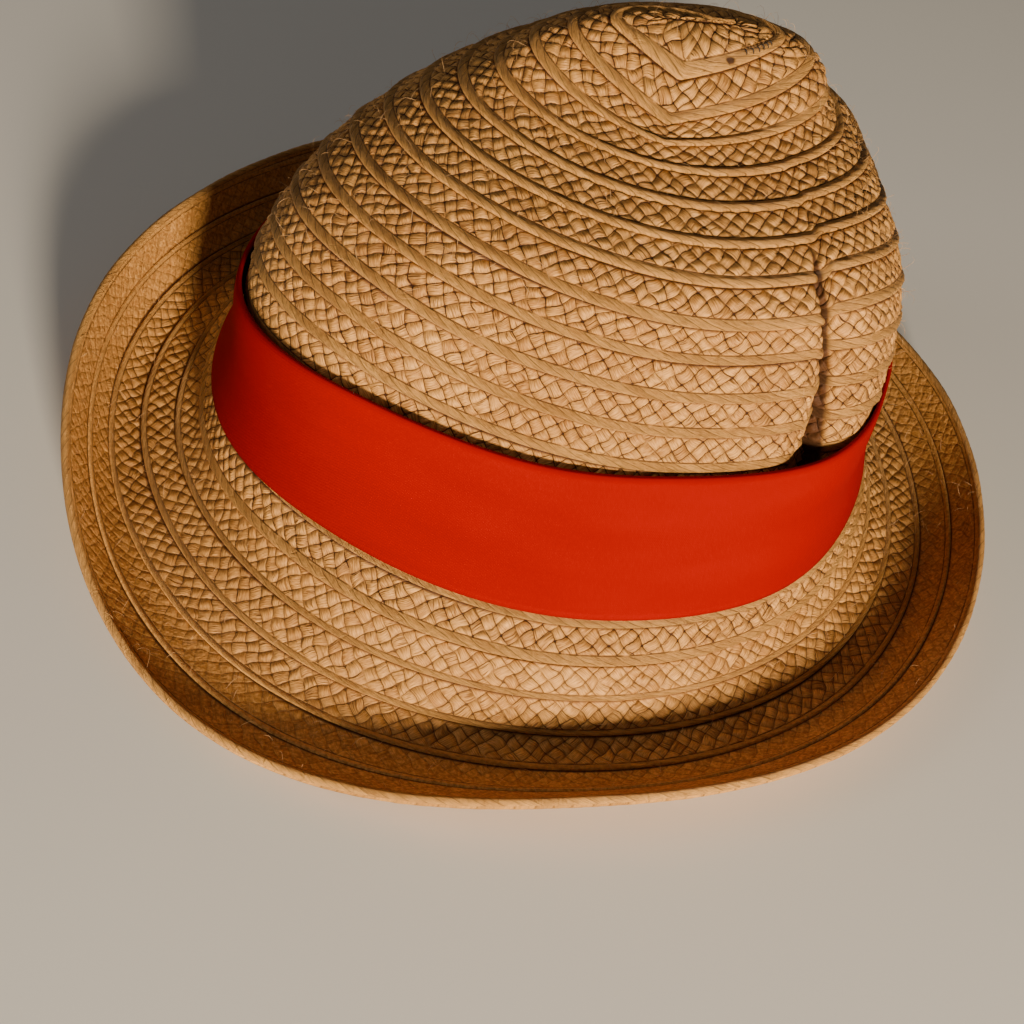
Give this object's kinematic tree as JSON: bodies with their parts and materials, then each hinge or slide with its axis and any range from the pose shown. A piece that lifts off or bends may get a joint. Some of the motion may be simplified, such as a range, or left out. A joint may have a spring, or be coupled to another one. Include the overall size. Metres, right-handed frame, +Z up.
{
  "type": "straw fedora",
  "caption": "Short-brimmed sewn straw fedora with a pinched crown, a turned-up brim and a plain red cloth band, resting on its brim.",
  "frame": {"origin": "middle of the outline in plan, on the surface that the brim rests on", "axes": "+Z up through the crown, -Y towards the front of the hat, -X towards the wearer's right"},
  "size_m": [0.2648, 0.2638, 0.1303],
  "materials": {
    "crown_straw": "matt plaited straw",
    "brim_straw": "matt plaited straw",
    "band_cloth": "matt plain weave"
  },
  "bodies": {
    "root": {"crown": "crown_straw", "brim": "brim_straw", "hatband": "band_cloth"}
  },
  "joints": []
}
